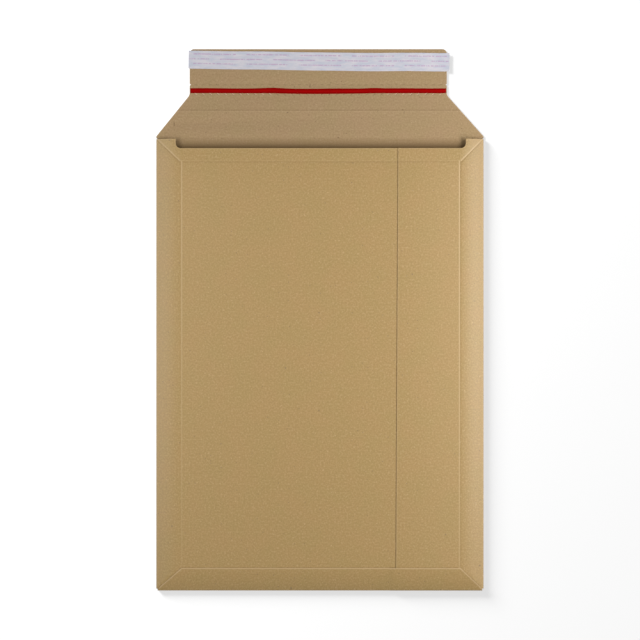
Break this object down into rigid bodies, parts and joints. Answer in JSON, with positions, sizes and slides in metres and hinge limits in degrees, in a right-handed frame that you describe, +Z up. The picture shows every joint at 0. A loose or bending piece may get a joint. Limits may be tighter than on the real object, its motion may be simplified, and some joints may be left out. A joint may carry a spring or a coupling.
{
  "type": "cardboard envelope",
  "caption": "Flat expandable mailing envelope of solid board, open at one end, with a closing flap, a tear strip and an adhesive strip under a release liner.",
  "frame": {"origin": "centre of the outline, on the table under the rear panel", "axes": "+X across the envelope, +Y towards the closing flap, +Z up from the table through the front panels"},
  "size_m": [0.33, 0.546, 0.0078],
  "materials": {
    "board": "unbleached kraft, matt",
    "board_inside": "unbleached grey-brown inner face, matt",
    "red_film": "glossy red tear tape",
    "adhesive": "clear pressure-sensitive adhesive",
    "liner": "siliconed white-lilac paper, satin",
    "set_glue": "set glue"
  },
  "bodies": {
    "envelope": {"folded_board": "board", "seam_glue": "set_glue", "bottom_glue": "set_glue"},
    "flap": {"closing_flap": "board_inside", "tear_strip": "red_film", "adhesive_strip": "adhesive", "release_liner": "liner"}
  },
  "joints": [
    {"name": "flap_hinge", "type": "hinge", "parent": "envelope", "child": "flap", "pos_m": [0, 0.183, 0.00418], "axis": [1, 0, 0], "range_deg": [0, 180]}
  ]
}
